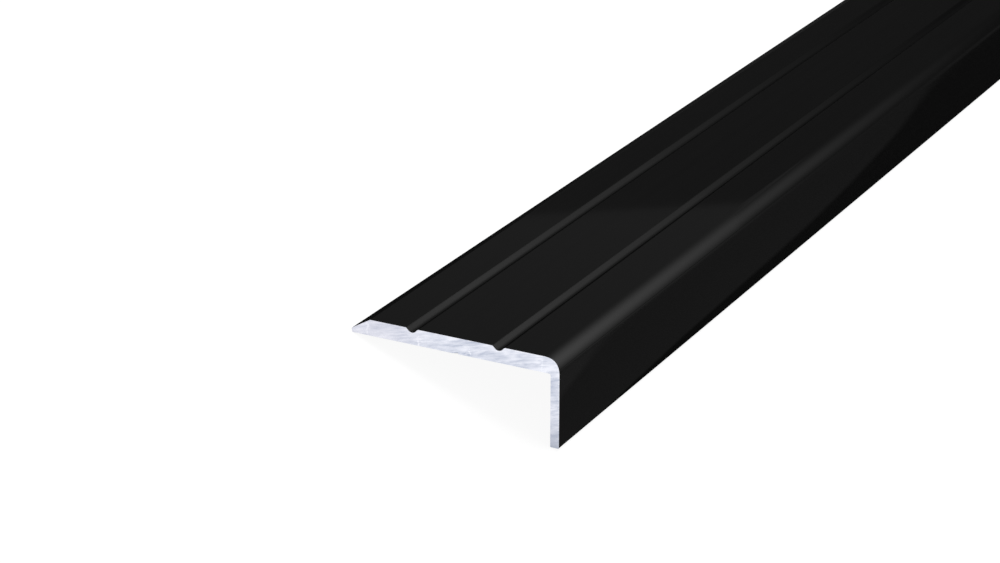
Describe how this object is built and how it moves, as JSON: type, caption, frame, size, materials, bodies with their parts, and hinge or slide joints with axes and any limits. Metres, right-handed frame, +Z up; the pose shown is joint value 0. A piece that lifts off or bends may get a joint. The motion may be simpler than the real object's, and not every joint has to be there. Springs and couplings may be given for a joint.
{
  "type": "aluminium angle profile",
  "caption": "Unequal L-section edge profile with a rounded outer corner, a ramped free edge and grooves along its top flange, in a straight length with square sawn ends.",
  "frame": {"origin": "middle of the bounding box at the level of the floor that the profile rests on", "axes": "+Y along the length, +X towards the outer face of the short leg, +Z up; the profile lies on its foot and on the lip of its flange, with the flange sloping 19.3 degrees down towards -X"},
  "size_m": [0.026, 1, 0.0093],
  "materials": {
    "black_anodised_aluminium": "extruded, black anodised with a satin sheen, ends sawn after anodising so they show bare metal"
  },
  "bodies": {
    "root": {"angle_profile": "black_anodised_aluminium"}
  },
  "joints": []
}
